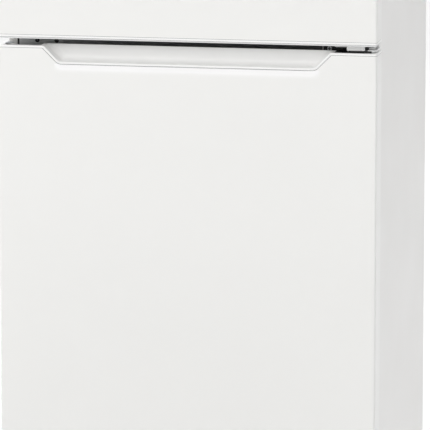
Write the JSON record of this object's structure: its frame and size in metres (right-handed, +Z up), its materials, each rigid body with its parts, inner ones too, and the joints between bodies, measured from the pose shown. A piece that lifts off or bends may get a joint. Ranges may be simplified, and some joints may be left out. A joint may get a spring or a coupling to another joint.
{
  "type": "top freezer refrigerator",
  "caption": "Free-standing refrigerator with a freezer door above a fridge door, right-hung, a grip pocket in the lower door, shelves, bins, crisper and rear compressor.",
  "frame": {"origin": "on the floor at the middle of the footprint", "axes": "+X to the right seen from the front, +Y to the back, +Z up"},
  "size_m": [0.54, 0.57, 1.44],
  "materials": {
    "white_steel": "satin white paint on pre-coated sheet",
    "white_cap": "white moulded plastic",
    "galvanised": "zinc-coated sheet",
    "grey_steel": "grey coated steel",
    "black_paint": "black stove paint",
    "foam": "rigid foam",
    "liner_white": "thermoformed white sheet",
    "clear_plastic": "transparent moulded plastic",
    "shelf_glass": "toughened glass",
    "trim_white": "white trim",
    "gasket_grey": "soft seal",
    "black_rubber": "rubber",
    "black_plastic": "black moulded plastic",
    "grey_plastic": "grey moulded plastic",
    "copper": "copper pipe",
    "aluminium_fin": "bare aluminium",
    "fastener_steel": "zinc-plated steel"
  },
  "bodies": {
    "cabinet": {"air_duct_panel": "liner_white", "back_panel": "galvanised", "base_pan": "galvanised", "bottom_hinge_bracket": "grey_steel", "cabinet_foam": "foam", "compressor": "black_paint", "compressor_grommets": "black_rubber", "compressor_plate": "galvanised", "condenser_brackets": "black_plastic", "condenser_tube": "black_paint", "condenser_wires": "black_paint", "control_console": "liner_white", "crisper_cover_glass": "shelf_glass", "drain_tube": "grey_plastic", "drip_tray": "black_plastic", "evaporator": "aluminium_fin", "evaporator_cover": "liner_white", "fan_motor": "grey_plastic", "freezer_liner": "liner_white", "freezer_shelf": "trim_white", "fridge_liner": "liner_white", "lamp_lens": "clear_plastic", "mid_hinge_bracket": "grey_steel", "mid_rail": "grey_steel", "outer_wrap": "white_steel", "refrigerant_pipes": "copper", "relay_box": "black_plastic", "screws_and_pins": "fastener_steel", "shelf_glass_1": "shelf_glass", "shelf_glass_2": "shelf_glass", "shelf_glass_3": "shelf_glass", "shelf_trims": "trim_white", "top_hinge_bracket": "grey_steel", "top_hinge_cover": "white_cap"},
    "freezer_door": {"freezer_bin_1": "clear_plastic", "freezer_bin_2": "clear_plastic", "freezer_door_bottom_cap": "white_cap", "freezer_door_foam": "foam", "freezer_door_gasket": "gasket_grey", "freezer_door_liner": "liner_white", "freezer_door_skin": "white_steel", "freezer_door_top_cap": "white_cap"},
    "fridge_door": {"fridge_bin_1": "clear_plastic", "fridge_bin_2": "clear_plastic", "fridge_bin_3": "clear_plastic", "fridge_door_bottom_cap": "white_cap", "fridge_door_foam": "foam", "fridge_door_gasket": "gasket_grey", "fridge_door_liner": "liner_white", "fridge_door_skin": "white_steel", "fridge_door_top_cap": "white_cap"},
    "crisper_drawer_body": {"crisper_drawer": "clear_plastic"},
    "thermostat_knob_body": {"thermostat_knob": "trim_white"},
    "freezer_slider_body": {"freezer_slider": "trim_white"},
    "door_switch_plunger": {"switch_plunger": "trim_white"},
    "fan_impeller": {"fan_blade": "black_plastic"},
    "foot_left_body": {"foot_left": "grey_plastic"},
    "foot_right_body": {"foot_right": "grey_plastic"},
    "roller_left_body": {"roller_left": "black_plastic"},
    "roller_right_body": {"roller_right": "black_plastic"}
  },
  "joints": [
    {"name": "freezer_door_hinge", "type": "hinge", "parent": "cabinet", "child": "freezer_door", "pos_m": [0.258, -0.262, 1.211], "axis": [0, 0, 1], "range_deg": [0, 135]},
    {"name": "fridge_door_hinge", "type": "hinge", "parent": "cabinet", "child": "fridge_door", "pos_m": [0.258, -0.262, 0.521], "axis": [0, 0, 1], "range_deg": [0, 135]},
    {"name": "crisper_slide", "type": "slide", "parent": "cabinet", "child": "crisper_drawer_body", "axis": [0, -1, 0], "range_m": [0, 0.026]},
    {"name": "thermostat_knob_turn", "type": "hinge", "parent": "cabinet", "child": "thermostat_knob_body", "pos_m": [0.112, -0.15, 0.945], "axis": [0, 0, 1], "range_deg": [0, 290]},
    {"name": "freezer_slider_slide", "type": "slide", "parent": "cabinet", "child": "freezer_slider_body", "axis": [1, 0, 0], "range_m": [-0.01, 0.01]},
    {"name": "switch_plunger_slide", "type": "slide", "parent": "cabinet", "child": "door_switch_plunger", "axis": [0, -1, 0], "range_m": [0, 0.004]},
    {"name": "fan_spin", "type": "hinge", "parent": "cabinet", "child": "fan_impeller", "pos_m": [0, 0.139, 1.27], "axis": [0, 1, 0], "continuous": true},
    {"name": "foot_left_screw", "type": "slide", "parent": "cabinet", "child": "foot_left_body", "axis": [0, 0, -1], "range_m": [0, 0.012]},
    {"name": "foot_right_screw", "type": "slide", "parent": "cabinet", "child": "foot_right_body", "axis": [0, 0, -1], "range_m": [0, 0.012]},
    {"name": "roller_left_spin", "type": "hinge", "parent": "cabinet", "child": "roller_left_body", "pos_m": [-0.24, 0.225, 0.012], "axis": [1, 0, 0], "continuous": true},
    {"name": "roller_right_spin", "type": "hinge", "parent": "cabinet", "child": "roller_right_body", "pos_m": [0.24, 0.225, 0.012], "axis": [1, 0, 0], "continuous": true}
  ],
  "couplings": [
    {"joint": "switch_plunger_slide", "follows": "fridge_door_hinge", "m_per_rad": 0.0016976}
  ]
}
